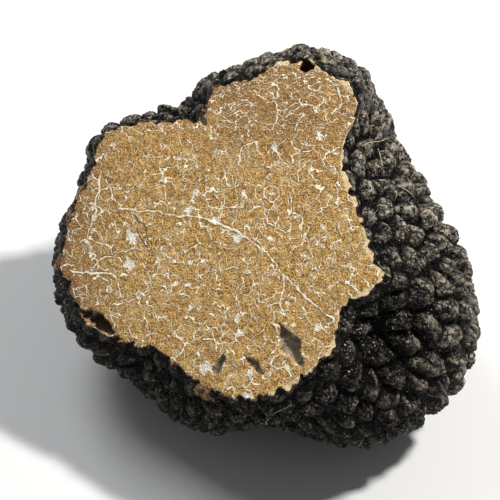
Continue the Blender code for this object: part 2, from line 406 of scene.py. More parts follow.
def facets(own, across, along):
    """The flat facets of each wart's crown, like a rough-cut stone: their relief in mm, and how
    much lower the lowest facet is than the next, which is nothing on a ridge."""
    turns = facet_turns[own]
    tilt = across[:, None] * np.cos(turns) + along[:, None] * np.sin(turns)
    heights = facet_tops[own] - facet_slopes[own] * tilt
    lowest = np.partition(heights, 1, axis=1)
    return lowest[:, 0], lowest[:, 1] - lowest[:, 0]


def rind_form(directions):
    """The rind in each direction: how far it reaches, in mm, and the marks that its paint
    reads: the way to the furrow, cracks, the ridges between facets, streaks out from each
    crown, and the tone of the wart."""
    radius = body_radius(directions)
    smooth = directions * radius[:, None]
    wandered = unit(smooth + FURROW_WANDER * swirl(smooth, FURROW_WANDER_SIZE))
    own, border = own_wart(wandered)
    crown = np.clip(border / wart_reach[own], 0.0, 1.0)
    border = border * radius
    on_wart = ease(border / FURROW_FOOT)
    offset = (wandered - warts[own]) * radius[:, None]
    across = np.sum(offset * wart_across[own], axis=1)
    along = np.sum(offset * wart_along[own], axis=1)
    crack, streak = crown_cracks(smooth, own, across, along, on_wart)
    crease = bell(grain(smooth + CREASE_SHIFT, CREASE_SIZE, octaves=3), CREASE_WIDTH) * on_wart
    facet, above_facet = facets(own, across, along)

    wall = 1 - np.exp(-border / FURROW_WALL)
    dome = 1 - (1 - np.minimum(DOME_FULLNESS * crown, 1.0)) ** DOME_ROUNDNESS
    rise = FURROW_DEPTH + wart_heights[own]
    relief = -FURROW_DEPTH + rise * (WALL_SHARE * wall + (1 - WALL_SHARE) * dome)
    crust = grain(smooth + CRUST_SHIFT, CRUST_SIZE, octaves=3) * CRUST_RELIEF
    crust *= CRUST_IN_FURROW + (1 - CRUST_IN_FURROW) * wall
    relief += crust - CRACK_DEPTH * crack - CREASE_DEPTH * crease
    warped = smooth + LUMP_WARP * swirl(smooth, LUMP_WARP_SIZE)
    relief += LUMP_HEIGHT * (lumps(warped, LUMP_SIZE) - LUMP_LEVEL) * ease(border / LUMP_FOOT)
    relief += facet * on_wart

    behind = behind_rim(directions)
    relief *= 1 - (1 - RIM_RELIEF) * bell(behind, RIM_RELIEF_REACH)
    ragged = grain(smooth + RIM_RAGGED_SHIFT, RIM_RAGGED_SIZE, octaves=3)
    relief += RIM_RAGGED * bell(behind, RIM_RAGGED_REACH) * ragged
    marks = {
        "furrow_mm": border,
        "crack": np.maximum(crack, crease),
        "ridge": bell(above_facet, RIDGE_WIDTH) * on_wart,
        "streak": streak,
        "tone": wart_tones[own],
    }
    return radius + relief, marks


# The sliced face: where the knife went through. The cut is a little uneven, and opens seven
# hollows and folds that were inside the truffle.
SLICE_ACROSS = unit(RIGHT - (RIGHT @ slice_normal()) * slice_normal())
SLICE_UP = np.cross(slice_normal(), SLICE_ACROSS)
FACE_ACROSS = (-35.0, 28.0)
FACE_UP = (-25.0, 32.0)
FACE_STEP = 0.17
KNIFE_HEIGHT = 200.0
FACE_SWAY = 0.12
FACE_SWAY_SIZE = 7.0
FACE_GRAIN = 0.11
FACE_GRAIN_SIZE = 0.75
FACE_GRAIN_SHIFT = 17.0
HOLLOW_RAGGED = 0.9
HOLLOW_RAGGED_SIZE = 1.3
HOLLOW_RAGGED_SHIFT = -23.0
HOLLOW_REACH = 1.12
HOLLOW_LIP = 0.3
HOLLOW_DEEP_AT_LIP = 0.55
HOLLOW_DEEPER_INSIDE = 0.45
HOLLOW_FLOOR_SLOPE = 1.4
# Each hollow: right, up, width, length, depth, and its turn in degrees.
HOLLOWS = (
    (5.2, 27.3, 2.2, 2.2, 2.6, 0.0),
    (-6.8, -21.4, 3.2, 3.2, 2.4, 20.0),
    (3.0, -12.6, 2.6, 7.0, 1.0, 28.0),
    (-7.3, -15.9, 1.3, 3.6, 0.7, -30.0),
    (-2.2, -15.8, 1.1, 4.4, 0.7, 48.0),
    (-25.0, -10.0, 6.8, 2.6, 1.7, -33.0),
    (-9.6, 19.6, 0.8, 2.0, 0.5, 40.0),
)


def on_slice(right, up):
    """Where a point of the picture lies on the plane of the slice, along it and up it."""
    normal = slice_normal()
    flat = np.multiply.outer(right, RIGHT) + np.multiply.outer(up, RISE)
    ahead = (SLICE_DISTANCE - flat @ normal) / (normal @ FRONT)
    point = flat + np.multiply.outer(ahead, FRONT)
    return point @ SLICE_ACROSS, point @ SLICE_UP


def flat_spots(across, up):
    """Places on the face as points, for a grain."""
    return np.stack((across, up, np.zeros_like(across)), axis=1)


def hollow_share(across, up):
    """0 on the cut face and 1 on the floor of a hollow, and the depth of that hollow."""
    spots = flat_spots(across, up)
    ragged = HOLLOW_RAGGED * grain(spots + HOLLOW_RAGGED_SHIFT, HOLLOW_RAGGED_SIZE, octaves=4)
    share = np.zeros(len(across))
    deepest = np.zeros(len(across))
    for right, rise, width, length, depth, turn in HOLLOWS:
        middle = on_slice(right, rise)
        along, beside = across - middle[0], up - middle[1]
        lean = math.radians(turn)
        level = along * math.cos(lean) + beside * math.sin(lean)
        steep = beside * math.cos(lean) - along * math.sin(lean)
        point = np.abs(steep) / (length / 2)
        away = np.abs(level) / (width / 2) + point**2 + ragged * min(width, length) ** -0.5
        inside = ease((HOLLOW_REACH - away) / HOLLOW_LIP)
        share = np.maximum(share, inside)
        floor = HOLLOW_DEEPER_INSIDE * ease(HOLLOW_FLOOR_SLOPE * (1 - away))
        deepest = np.maximum(deepest, depth * inside * (HOLLOW_DEEP_AT_LIP + floor))
    return share, deepest


def face_height(across, up):
    """How far the cut face stands over the plane of the slice, in mm."""
    spots = flat_spots(across, up)
    height = FACE_SWAY * grain(spots, FACE_SWAY_SIZE, octaves=2)
    height += FACE_GRAIN * grain(spots + FACE_GRAIN_SHIFT, FACE_GRAIN_SIZE, octaves=4)
    return height - hollow_share(across, up)[1]


def new_piece(name, mesh):
    """An object made from a finished bmesh in millimetres."""
    mesh.transform(Matrix.Scale(MM, 4))
    piece = bpy.data.objects.new(name, bpy.data.meshes.new(name))
    mesh.to_mesh(piece.data)
    mesh.free()
    bpy.context.scene.collection.objects.link(piece)
    return piece


def knife():
    """A closed block over the slice, whose underside is the cut face."""
    columns = np.arange(FACE_ACROSS[0], FACE_ACROSS[1], FACE_STEP)
    rows = np.arange(FACE_UP[0], FACE_UP[1], FACE_STEP)
    across, up = (side.ravel() for side in np.meshgrid(columns, rows))
    height = SLICE_DISTANCE + face_height(across, up)
    flat = np.multiply.outer(across, SLICE_ACROSS) + np.multiply.outer(up, SLICE_UP)
    points = BODY_CENTRE + flat + np.multiply.outer(height, slice_normal())
    top = BODY_CENTRE + (SLICE_DISTANCE + KNIFE_HEIGHT) * slice_normal()
    points = np.concatenate((points, top[None]))

    wide = len(columns)
    tall = len(rows)
    number = np.arange(wide * tall).reshape(tall, wide)
    corners = (number[:-1, :-1], number[1:, :-1], number[1:, 1:], number[:-1, 1:])
    faces = np.stack(corners, axis=-1).reshape(-1, 4).tolist()
    edge = np.concatenate((number[0, :-1], number[:-1, -1], number[-1, :0:-1], number[:0:-1, 0]))
    edge = edge.tolist()
    peak = wide * tall
    faces += [(near, far, peak) for near, far in zip(edge, edge[1:] + edge[:1])]

    block = bpy.data.meshes.new("knife")
    block.from_pydata((points * MM).tolist(), [], faces)
    piece = bpy.data.objects.new("knife", block)
    bpy.context.scene.collection.objects.link(piece)
    return piece


# The rind: a hard black skin about a third of a millimetre thick that follows every wart.
# The slice cut through it, so it ends in a thin dark line round the flesh.
RIND_THICKNESS = 0.34
RIND_GRID = 8
RIND_OUTER_KEPT = 0.47
RIND_INNER_KEPT = 0.19
WORN_REACH = math.radians(10.0)
OUT_OF_THE_BODY = 60.0
# Worn or cut patches near the rim: right, up, size, and how bare each is.
WORN_PATCHES = (
    (15.9, 24.0, 1.2, 1.0),
    (-9.6, -20.0, 1.5, 1.0),
    (-7.2, -23.8, 1.3, 1.5),
    (-28.8, 9.3, 1.5, 1.0),
    (-29.9, 5.7, 1.7, 0.65),
    (-31.2, -1.2, 1.5, 0.9),
    (-27.6, 14.0, 1.2, 0.7),
    (-24.6, -13.2, 1.2, 0.5),
    (-9.4, 21.6, 1.1, 0.6),
    (8.0, 28.8, 1.3, 0.55),
    (-14.5, 20.6, 1.0, 0.55),
)
# Places in the shadow of the slice's edge, where the crowns are painted black as shade: right, up
# and size.
PAINTED_SHADOW_PLACES = (
    (14.5, -8.5, 5.5),
    (12.0, -14.0, 4.0),
    (-30.0, -8.0, 3.0),
)
# How light the crowns are painted: painted light on the side of the body that faces the key light
# and where the surface faces it squarely, real dust by the wart's own tone, and painted shadow below
# the slice's edge.
LIT_SIDE = unit(0.55 * RIGHT + 0.75 * RISE + 0.1 * FRONT)
PAINTED_LIGHT_SIDE = unit(0.5 * RIGHT + 0.65 * RISE + 0.55 * FRONT)
PAINTED_LIGHT_BY_SIDE = 0.12
DUST_BY_TONE = 0.08
PAINTED_LIGHT_BY_FACING = 0.20
PAINTED_LIGHT_FACING_LEVEL = 0.5
PAINTED_SHADOW_STRENGTH = 0.4
# The paint: sizes of its patches in mm, its colours, and its coats, each with how strongly
# it is laid on.
RIND_CLOUD_SIZE = 2.2
RIND_FINE_SIZE = 0.62
RIND_GRIT_SIZE = 0.34
RIND_STREAK_SIZE = 0.45
RIND_GLOSS_SIZE = 1.1
CROWN_STREAK_SIZE = 0.42
GLINT_SIZE = 0.30
WRINKLE_SIZE = 0.85
WRINKLE_PATCH_SIZE = 1.3
WRINKLE_SWAY = (0.6, (0.7, 0.7, 0.7))
HORN_BLACK = (0.003, 0.0028, 0.0026)
HORN_BROWN = (0.010, 0.009, 0.008)
WORN_BROWN = (0.11, 0.055, 0.024)
WORN_TAN = (0.42, 0.27, 0.13)
CUT_EDGE_BROWN = (0.10, 0.055, 0.028)
GREY_DUST_AND_PAINTED_LIGHT = (0.64, (0.125, 0.113, 0.093))
GREY_SCRATCHES = (0.6, (0.26, 0.235, 0.19))
PAINTED_RIDGE_HIGHLIGHTS = (0.75, (0.50, 0.44, 0.34))
TAN_SPECKS = (0.6, (0.34, 0.25, 0.16))
PAINTED_GLINTS = (0.8, (0.62, 0.58, 0.50))
PAINTED_SHADE_IN_FURROWS_AND_CRACKS = (0.95, (0.002, 0.0018, 0.0016))
RIDGE_HIGHLIGHTS_IN_SHADE = 0.2
MORE_GLINTS_IN_SHADOW = 0.10
RIND_ROUGHNESS = (0.46, 0.20)
RIND_SHINE = 0.10
RIND_BUMP = 0.55


def apply_modifiers(piece):
    """Makes a piece's mesh what its modifiers show, and takes them off."""
    shown = piece.evaluated_get(bpy.context.evaluated_depsgraph_get())
    mesh = bpy.data.meshes.new_from_object(shown)
    piece.modifiers.clear()
    piece.data = mesh


def closed_skin(name, directions, radius, deeper, kept):
    """A closed skin over the whole body, some way below the rind's outer surface, with as
    many of its faces as are worth keeping."""
    mesh = bmesh.new()
    bmesh.ops.create_icosphere(mesh, subdivisions=RIND_GRID, radius=1.0)
    points = BODY_CENTRE + directions * (radius - deeper)[:, None]
    points[:, 2] = np.maximum(points[:, 2], deeper)
    for vertex, point in zip(mesh.verts, points.tolist()):
        vertex.co = point
    skin = new_piece(name, mesh)
    fewer = skin.modifiers.new("fewer_faces", "DECIMATE")
    fewer.ratio = kept
    apply_modifiers(skin)
    return skin


def grid_directions():
    """The directions of an even grid over the whole body."""
    mesh = bmesh.new()
    bmesh.ops.create_icosphere(mesh, subdivisions=RIND_GRID, radius=1.0)
    directions = unit(np.array([vertex.co for vertex in mesh.verts], dtype=float))
    mesh.free()
    return directions


def cut_away(piece, cutter):
    """Takes one solid out of another."""
    cut = piece.modifiers.new("cut", "BOOLEAN")
    cut.operation = "DIFFERENCE"
    cut.solver = "MANIFOLD"
    cut.object = cutter
    apply_modifiers(piece)


def drop_crumbs(piece):
    """Keeps the largest connected part of a piece, without the crumbs that the cut left."""
    mesh = bmesh.new()
    mesh.from_mesh(piece.data)
    waiting = set(mesh.verts)
    parts = []
    while waiting:
        part = set()
        edge_of_part = [waiting.pop()]
        while edge_of_part:
            corner = edge_of_part.pop()
            part.add(corner)
            for side in corner.link_edges:
                other = side.other_vert(corner)
                if other in waiting:
                    waiting.remove(other)
                    edge_of_part.append(other)
        parts.append(part)
    parts.sort(key=len)
    crumbs = [corner for part in parts[:-1] for corner in part]
    bmesh.ops.delete(mesh, geom=crumbs, context="VERTS")
    mesh.to_mesh(piece.data)
    mesh.free()


def corner_points(piece):
    """The points of a piece's mesh, in mm from the middle of the body."""
    flat = np.empty(3 * len(piece.data.vertices))
    piece.data.vertices.foreach_get("co", flat)
    return flat.reshape(-1, 3) / MM - BODY_CENTRE


def note(piece, name, values):
    """Writes a value for each point of a piece, for its paint to read."""
    vector = values.ndim == 2
    kind = "FLOAT_VECTOR" if vector else "FLOAT"
    layer = piece.data.attributes.new(name, kind, "POINT")
    layer.data.foreach_set("vector" if vector else "value", values.ravel())


def smooth_faces(piece):
    """Shades a piece without a crease at each face."""
    piece.data.polygons.foreach_set("use_smooth", [True] * len(piece.data.polygons))


directions = grid_directions()
rind_radius = rind_form(directions)[0]
rind = closed_skin("rind", directions, rind_radius, 0.0, RIND_OUTER_KEPT)
flesh = closed_skin("flesh", directions, rind_radius, RIND_THICKNESS, RIND_INNER_KEPT)
blade = knife()
cut_away(rind, blade)
cut_away(rind, flesh)
cut_away(flesh, blade)
bpy.data.objects.remove(blade)
drop_crumbs(rind)
drop_crumbs(flesh)

smooth_faces(rind)
rind_tree = BVHTree.FromObject(rind, bpy.context.evaluated_depsgraph_get())


def on_rind(right, up):
    """The point of the rind that the picture shows at a place, in mm from the middle."""
    start = Vector(seen_from_camera(right, up, OUT_OF_THE_BODY)) * MM
    hit = rind_tree.ray_cast(start, -Vector(FRONT))[0]
    if hit is None:
        hit = rind_tree.find_nearest(Vector(seen_from_camera(right, up, 0.0)) * MM)[0]
    return np.array(hit) / MM - BODY_CENTRE


points = corner_points(rind)
outer_radius, marks = rind_form(unit(points))
near_rim = bell(behind_rim(unit(points)), WORN_REACH)
bared = np.zeros(len(points))
for right, up, size, bare in WORN_PATCHES:
    away = np.hypot(points @ RIGHT - right, points @ RISE - up)
    bared = np.maximum(bared, bare * near_rim * bell(away, size))
# Painted shadow: 1 where the slice's edge shadows the rind, so that its paint keeps the crowns black
# there.
painted_shadow = np.zeros(len(points))
for right, up, size in PAINTED_SHADOW_PLACES:
    away = np.linalg.norm(points - on_rind(right, up), axis=1)
    painted_shadow = np.maximum(painted_shadow, bell(away, size))
# Painted light: the crowns grow lighter where the surface faces the key light; the wart's tone adds
# real dust, and the painted shadow takes it away.
faces_to = np.empty(3 * len(points))
rind.data.vertex_normals.foreach_get("vector", faces_to)
facing = faces_to.reshape(-1, 3) @ PAINTED_LIGHT_SIDE
dust_and_painted_light = PAINTED_LIGHT_BY_SIDE * (unit(points) @ LIT_SIDE) + DUST_BY_TONE * marks["tone"]
dust_and_painted_light = dust_and_painted_light + PAINTED_LIGHT_BY_FACING * (facing - PAINTED_LIGHT_FACING_LEVEL) - PAINTED_SHADOW_STRENGTH * painted_shadow
for name, values in marks.items():
    note(rind, name, values)
note(rind, "painted_shadow", painted_shadow)
note(rind, "dust_and_painted_light", dust_and_painted_light)
note(rind, "bared", bared)
note(rind, "below_mm", outer_radius - np.linalg.norm(points, axis=1))


def step(tree, kind, inputs, **settings):
    """One node of a paint, with a value or another node's output for each input."""
    node = tree.nodes.new(kind)
    for key, value in settings.items():
        setattr(node, key, value)
    for key, value in inputs.items():
        if isinstance(value, bpy.types.NodeSocket):
            tree.links.new(value, node.inputs[key])
        else:
            node.inputs[key].default_value = value
    return node


def sums(tree, operation, *values):
    """What an operation such as ADD or MAXIMUM makes of two or three numbers."""
    return step(tree, "ShaderNodeMath", dict(enumerate(values)), operation=operation).outputs[0]


def plus(tree, first, second):
    return sums(tree, "ADD", first, second)


def less(tree, first, second):
    return sums(tree, "SUBTRACT", first, second)


def times(tree, first, second):
    return sums(tree, "MULTIPLY", first, second)


def most(tree, first, second):
    return sums(tree, "MAXIMUM", first, second)


def unevenness(tree, value, span):
    """A noise value turned into plus or minus half a span."""
    return sums(tree, "MULTIPLY_ADD", value, span, -span / 2)


def moved(tree, operation, first, second):
    """What an operation makes of two places."""
    inputs = {0: first, 1: second}
    return step(tree, "ShaderNodeVectorMath", inputs, operation=operation).outputs[0]


def shifted(tree, place, shift):
    return moved(tree, "ADD", place, shift)


def stretched(tree, place, shares):
    return moved(tree, "MULTIPLY", place, shares)


def between(tree, value, low, high):
    """0 below low, 1 above high, and a soft step from one to the other."""
    inputs = {"Value": value, "From Min": low, "From Max": high}
    node = step(tree, "ShaderNodeMapRange", inputs, interpolation_type="SMOOTHSTEP")
    return node.outputs[0]


def outside(tree, value, low, high):
    """1 below low, 0 above high, and a soft step from one to the other."""
    return less(tree, 1.0, between(tree, value, low, high))


def spread(tree, value, start, end, low=0.0, high=1.0):
    """A value between low and high, spread evenly from start to end."""
    inputs = {"Value": value, "From Min": low, "From Max": high, "To Min": start, "To Max": end}
    return step(tree, "ShaderNodeMapRange", inputs).outputs[0]


def blend(tree, share, first, second):
    """A mix of two colours."""
    colours = [c if isinstance(c, bpy.types.NodeSocket) else (*c, 1.0) for c in (first, second)]
    inputs = {0: share, 6: colours[0], 7: colours[1]}
    return step(tree, "ShaderNodeMix", inputs, data_type="RGBA").outputs[2]


def coated(tree, under, share, strength, over):
    """A colour with another laid over it, as far as a share says and at a strength."""
    return blend(tree, times(tree, share, strength), under, over)


def mottle(tree, place, size, detail=3.0, roughness=0.55):
    """Cloudy noise whose patches are a size across, in mm."""
    inputs = {"Vector": place, "Scale": 1 / size, "Detail": detail, "Roughness": roughness}
    return step(tree, "ShaderNodeTexNoise", inputs).outputs["Fac"]


def sway(tree, place, size, reach):
    """How far each place is drawn aside, in wandering bends that are a size across."""
    inputs = {"Vector": place, "Scale": 1 / size, "Detail": 2.0, "Roughness": 0.55}
    noise_colour = step(tree, "ShaderNodeTexNoise", inputs).outputs["Color"]
    centred = moved(tree, "SUBTRACT", noise_colour, (0.5, 0.5, 0.5))
    return stretched(tree, centred, reach)


def noted(tree, name):
    """A number that was written for each point of a piece."""
    return step(tree, "ShaderNodeAttribute", {}, attribute_name=name).outputs["Fac"]


def noted_place(tree, name):
    """A place that was written for each point of a piece."""
    return step(tree, "ShaderNodeAttribute", {}, attribute_name=name).outputs["Vector"]


def place_in_mm(tree):
    """Where each point of a piece is, in mm."""
    metres = step(tree, "ShaderNodeTexCoord", {}).outputs["Object"]
    return stretched(tree, metres, (1 / MM, 1 / MM, 1 / MM))


def bumpy(tree, shader, height, depth):
    """Fine relief from a height of 0 to 1 that stands for a depth in mm."""
    inputs = {"Height": height, "Strength": 1.0, "Distance": depth * MM}
    bump = step(tree, "ShaderNodeBump", inputs)
    tree.links.new(bump.outputs[0], shader.inputs["Normal"])


def new_paint(name):
    """An empty paint, with its shader."""
    paint = bpy.data.materials.new(name)
    paint.use_nodes = True
    return paint, paint.node_tree, paint.node_tree.nodes["Principled BSDF"]


def rind_wrinkles(tree, place):
    """Fine dry wrinkles in patches, like cracked leather."""
    bent = shifted(tree, place, sway(tree, place, *WRINKLE_SWAY))
    inputs = {"Vector": bent, "Scale": 1 / WRINKLE_SIZE}
    crackle = step(tree, "ShaderNodeTexVoronoi", inputs, feature="DISTANCE_TO_EDGE")
    patches = between(tree, mottle(tree, place, WRINKLE_PATCH_SIZE, 2.0), 0.40, 0.55)
    return times(tree, outside(tree, crackle.outputs["Distance"], 0.02, 0.15), patches)


def paint_rind():
    """Horny black, brown at the edges and grey on the crowns, with tan where it is worn through. The
    grey is real dust mixed with painted light, lighter on crowns that face the key light; the
    furrows and cracks hold painted shade, and the ridges and glints are painted highlights."""
    paint, tree, shader = new_paint("black_rind")
    place = place_in_mm(tree)
    cloud = mottle(tree, place, RIND_CLOUD_SIZE, 3.0, 0.6)
    fine = mottle(tree, place, RIND_FINE_SIZE, 2.0)
    grit = mottle(tree, shifted(tree, place, (5.0, 3.0, 9.0)), RIND_GRIT_SIZE, 1.0, 0.5)
    drawn_out = stretched(tree, place, (1.0, 0.6, 0.35))
    streaks = mottle(tree, drawn_out, RIND_STREAK_SIZE, 2.0, 0.5)
    wrinkles = rind_wrinkles(tree, place)
    furrow_gap = noted(tree, "furrow_mm")
    crown = between(tree, furrow_gap, 0.22, 0.8)
    dust_and_painted_light = noted(tree, "dust_and_painted_light")
    painted_shadow = noted(tree, "painted_shadow")

    colour = blend(tree, between(tree, cloud, 0.4, 0.65), HORN_BLACK, HORN_BROWN)
    # The grey on the crowns: real dust mixed with painted light, most where they face the light.
    dust_and_light = plus(tree, times(tree, cloud, 0.6), times(tree, fine, 0.55))
    dust_and_light = times(tree, crown, between(tree, plus(tree, dust_and_light, dust_and_painted_light), 0.59, 0.80))
    colour = coated(tree, colour, dust_and_light, *GREY_DUST_AND_PAINTED_LIGHT)
    radial = mottle(tree, noted_place(tree, "streak"), CROWN_STREAK_SIZE, 2.0)
    scratches = times(tree, crown, between(tree, radial, 0.53, 0.62))
    scratches = times(tree, scratches, between(tree, streaks, 0.42, 0.55))
    colour = coated(tree, colour, scratches, *GREY_SCRATCHES)
    # Painted highlights: light lines along the ridges between facets, fainter on the shaded side.
    ridge_highlights = times(tree, noted(tree, "ridge"), between(tree, fine, 0.38, 0.48))
    ridge_highlights = times(tree, ridge_highlights, most(tree, between(tree, dust_and_painted_light, -0.12, 0.12), RIDGE_HIGHLIGHTS_IN_SHADE))
    colour = coated(tree, colour, ridge_highlights, *PAINTED_RIDGE_HIGHLIGHTS)
    specks = times(tree, crown, between(tree, grit, 0.68, 0.74))
    colour = coated(tree, colour, specks, *TAN_SPECKS)
    # Painted glints: bright cream dots that stand in for the shine of small facets, more of them in
    # the painted shadow.
    painted_glints = mottle(tree, moved(tree, "SUBTRACT", place, (8.0, 2.0, 4.0)), GLINT_SIZE, 0.0)
    painted_glints = plus(tree, painted_glints, times(tree, painted_shadow, MORE_GLINTS_IN_SHADOW))
    painted_glints = times(tree, between(tree, painted_glints, 0.73, 0.79), between(tree, cloud, 0.42, 0.55))
    colour = coated(tree, colour, painted_glints, *PAINTED_GLINTS)
    # Painted shade: near black in the furrows, cracks and wrinkles.
    painted_shade = most(tree, noted(tree, "crack"), wrinkles)
    painted_shade = most(tree, painted_shade, outside(tree, furrow_gap, 0.16, 0.5))
    colour = coated(tree, colour, painted_shade, *PAINTED_SHADE_IN_FURROWS_AND_CRACKS)

    worn = plus(tree, noted(tree, "bared"), unevenness(tree, fine, 0.9))
    tan = blend(tree, between(tree, fine, 0.4, 0.6), WORN_BROWN, WORN_TAN)
    colour = blend(tree, between(tree, worn, 0.38, 0.55), colour, tan)
    cut_edge = between(tree, noted(tree, "below_mm"), 0.06, 0.22)
    colour = coated(tree, colour, cut_edge, between(tree, fine, 0.35, 0.6), CUT_EDGE_BROWN)

    waxy = between(tree, mottle(tree, place, RIND_GLOSS_SIZE, 2.0), 0.38, 0.62)
    bumps = plus(tree, fine, times(tree, grit, 0.3))
    bumps = plus(tree, bumps, times(tree, streaks, 0.4))
    bumps = less(tree, bumps, times(tree, wrinkles, 0.45))
    tree.links.new(colour, shader.inputs["Base Color"])
    tree.links.new(spread(tree, waxy, *RIND_ROUGHNESS), shader.inputs["Roughness"])
    shader.inputs["Specular IOR Level"].default_value = RIND_SHINE
    bumpy(tree, shader, bumps, RIND_BUMP)
    return paint


rind.data.materials.clear()
rind.data.materials.append(paint_rind())
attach(rind, "root")
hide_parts("truffle")

# The flesh: firm, golden brown, and marbled by fine cream veins that wind through the whole
# truffle and meet in pale knots. It fills the rind.
# Main veins: how stout each is, and points right and up in the picture.
MAIN_VEINS = (
    (0.75, (-21.9, 6.9), (-18.3, 6.5), (-16.2, 6.5), (-13.5, 5.7), (-10.5, 5.6), (-8.7, 5.0)),
    (1.25, (-8.7, 5.0), (-6.0, 4.0), (-3.6, 2.7)),
    (0.75, (-3.6, 2.7), (-1.2, 1.0), (0.3, -0.2), (2.1, -2.9)),
    (0.85, (2.1, -2.9), (3.9, -4.7), (5.7, -6.5), (7.5, -7.8), (9.3, -9.2)),
    (0.75, (2.1, -2.9), (2.0, -5.2), (1.6, -7.0), (2.2, -9.0)),
    (0.95, (-29.7, -2.3), (-27.9, -2.6), (-26.4, -2.7), (-24.9, -2.6), (-23.1, -2.9), (-22.5, -3.6)),
    (0.65, (-22.5, -3.6), (-21.9, -5.0), (-21.6, -6.8)),
    (0.6, (-26.1, -2.3), (-25.2, -0.8), (-24.0, -0.2), (-22.2, -0.3), (-21.6, -1.1)),
    (0.85, (-25.2, 11.3), (-25.1, 9.5), (-25.7, 8.3), (-25.5, 6.8), (-26.1, 5.7), (-26.3, 4.4)),
    (0.65, (-26.3, 4.4), (-27.0, 2.6), (-25.8, 2.0), (-23.7, 1.4), (-23.1, 0.2)),
    (0.75, (-24.3, 11.3), (-23.0, 8.9), (-22.5, 8.0)),
    (0.7, (9.9, 24.0), (10.4, 21.8), (10.1, 20.2)),
    (0.55, (-4.8, 11.2), (-4.6, 9.2), (-4.4, 8.0)),
    (0.5, (-2.7, 8.0), (-1.8, 6.4), (-1.5, 4.0), (-0.9, 2.6)),
    (0.55, (-8.0, 8.8), (-6.8, 7.5), (-7.5, 6.2)),
    (0.5, (-6.8, 6.9), (-4.5, 6.8), (-3.9, 6.2)),
    (0.6, (0.9, 7.7), (0.3, 6.8), (0.0, 6.2), (-0.2, 4.6), (0.9, 4.0)),
    (0.6, (3.0, 8.8), (3.3, 6.4), (4.8, 5.5), (4.5, 2.8)),
    (0.5, (5.1, 2.8), (5.7, 1.4), (6.3, -0.5)),
    (0.5, (-8.2, -1.4), (-7.2, -2.2), (-6.3, -2.2), (-5.1, -1.6), (-3.3, -2.6), (-1.5, -2.5)),
    (0.55, (-0.3, -7.4), (0.9, -7.0), (2.0, -7.0)),
    (0.5, (-4.5, 12.4), (-4.2, 14.2), (-3.9, 15.8), (-2.1, 16.4)),
    (0.5, (0.4, 13.0), (0.6, 14.8), (1.5, 16.0), (2.7, 17.0)),
    (0.5, (3.9, 17.8), (4.2, 19.6), (5.1, 20.0)),
    (0.6, (3.6, 13.0), (3.3, 14.2), (4.5, 14.8), (6.3, 15.2)),
    (0.6, (8.1, 14.6), (9.6, 15.2), (10.5, 15.4)),
    (0.6, (-4.6, -5.6), (-4.5, -8.8), (-4.2, -9.4)),
    (0.6, (-9.9, -11.0), (-7.5, -10.6), (-7.0, -11.8)),
    (0.6, (-9.6, -12.3), (-7.8, -12.2), (-7.5, -14.0)),
    (0.6, (-3.6, -14.0), (-3.6, -15.8)),
    (0.5, (-2.1, -8.8), (-1.2, -10.4)),
    (0.8, (0.3, -9.8), (1.2, -10.0), (1.5, -12.4)),
    (0.5, (-14.7, 4.0), (-14.6, 2.6)),
    (0.6, (-21.6, -6.9), (-20.4, -6.9), (-18.6, -5.6), (-17.4, -5.2)),
    (0.5, (-24.9, -3.4), (-23.7, -4.0), (-24.0, -5.6)),
    (0.6, (-12.9, 9.4), (-10.5, 8.0), (-8.1, 8.2)),
)
RING_VEIN_MIDDLE = (0.4, 8.9)
RING_VEIN_RADIUS = 1.1
RING_VEIN_STOUT = 0.7
# Dry cracks, in the same way.
DRY_CRACKS = (
    (1.0, (-19.8, 6.0), (-19.3, 5.1), (-18.4, 4.5), (-18.0, 3.4), (-17.7, 2.5), (-17.2, 1.6)),
    (1.0, (-19.6, 4.0), (-19.2, 2.7), (-18.4, 1.9), (-18.0, 1.3), (-17.4, 0.0)),
)
VEIN_STRAY = 0.28
VEIN_STRAY_SIZE = 1.5
VEIN_STRAY_SHIFT = 71.0
FARTHEST_VEIN = 99.0
# Pale knots: right, up and size.
KNOTS = (
    (-20.1, 2.6, 1.15),
    (-20.5, -1.6, 1.05),
    (-11.7, 6.6, 0.75),
    (-7.5, 5.1, 0.8),
    (-4.5, 2.6, 0.85),
    (-10.5, 9.1, 0.7),
    (-3.6, 8.8, 0.7),
    (7.2, 17.1, 0.75),
    (-13.6, -4.2, 0.6),
    (-11.4, -1.0, 0.5),
    (6.9, -10.4, 0.6),
    (-4.2, -11.3, 0.7),
    (-4.5, -8.8, 0.5),
    (0.9, 15.7, 0.6),
    (12.3, 25.0, 1.2),
    (-25.8, 5.6, 0.6),
    (0.4, 8.9, 0.3),
    (-2.7, -17.0, 0.8),
    (-9.3, -16.3, 1.15),
    (-3.3, -20.4, 1.1),
)
# The net of small veins: the size of its cells, and how far they are drawn aside.
VEIN_CELL = 2.0
LEVEL_CELL = 1.3
LEVEL_CELL_SHARES = (0.42, 1.1, 1.0)
LEVEL_CELL_SPREAD = 1.6
LEVEL_CELLS_FROM = (14.0, 18.0)
UPRIGHT_CELL = 1.5
UPRIGHT_CELL_SHARES = (1.1, 0.45, 1.0)
UPRIGHT_CELL_SPREAD = 1.4
UPRIGHT_PATCH_SIZE = 9.0
FINEST_CELL = 0.95
VEIN_SWAY = (3.2, (3.4, 3.4, 0.0))
VEIN_CURL = (0.9, (1.3, 1.3, 0.0))
VEIN_WIDTH = (0.035, 0.15)
FINEST_WIDTH = (0.035, 0.09)
VEIN_GIRTH_SIZE = 1.0
VEIN_PATCH_SIZE = 2.6
FINEST_PATCH_SIZE = 1.8
MAIN_VEIN_WOBBLE = 0.30
MAIN_VEIN_WOBBLE_SIZE = 0.7
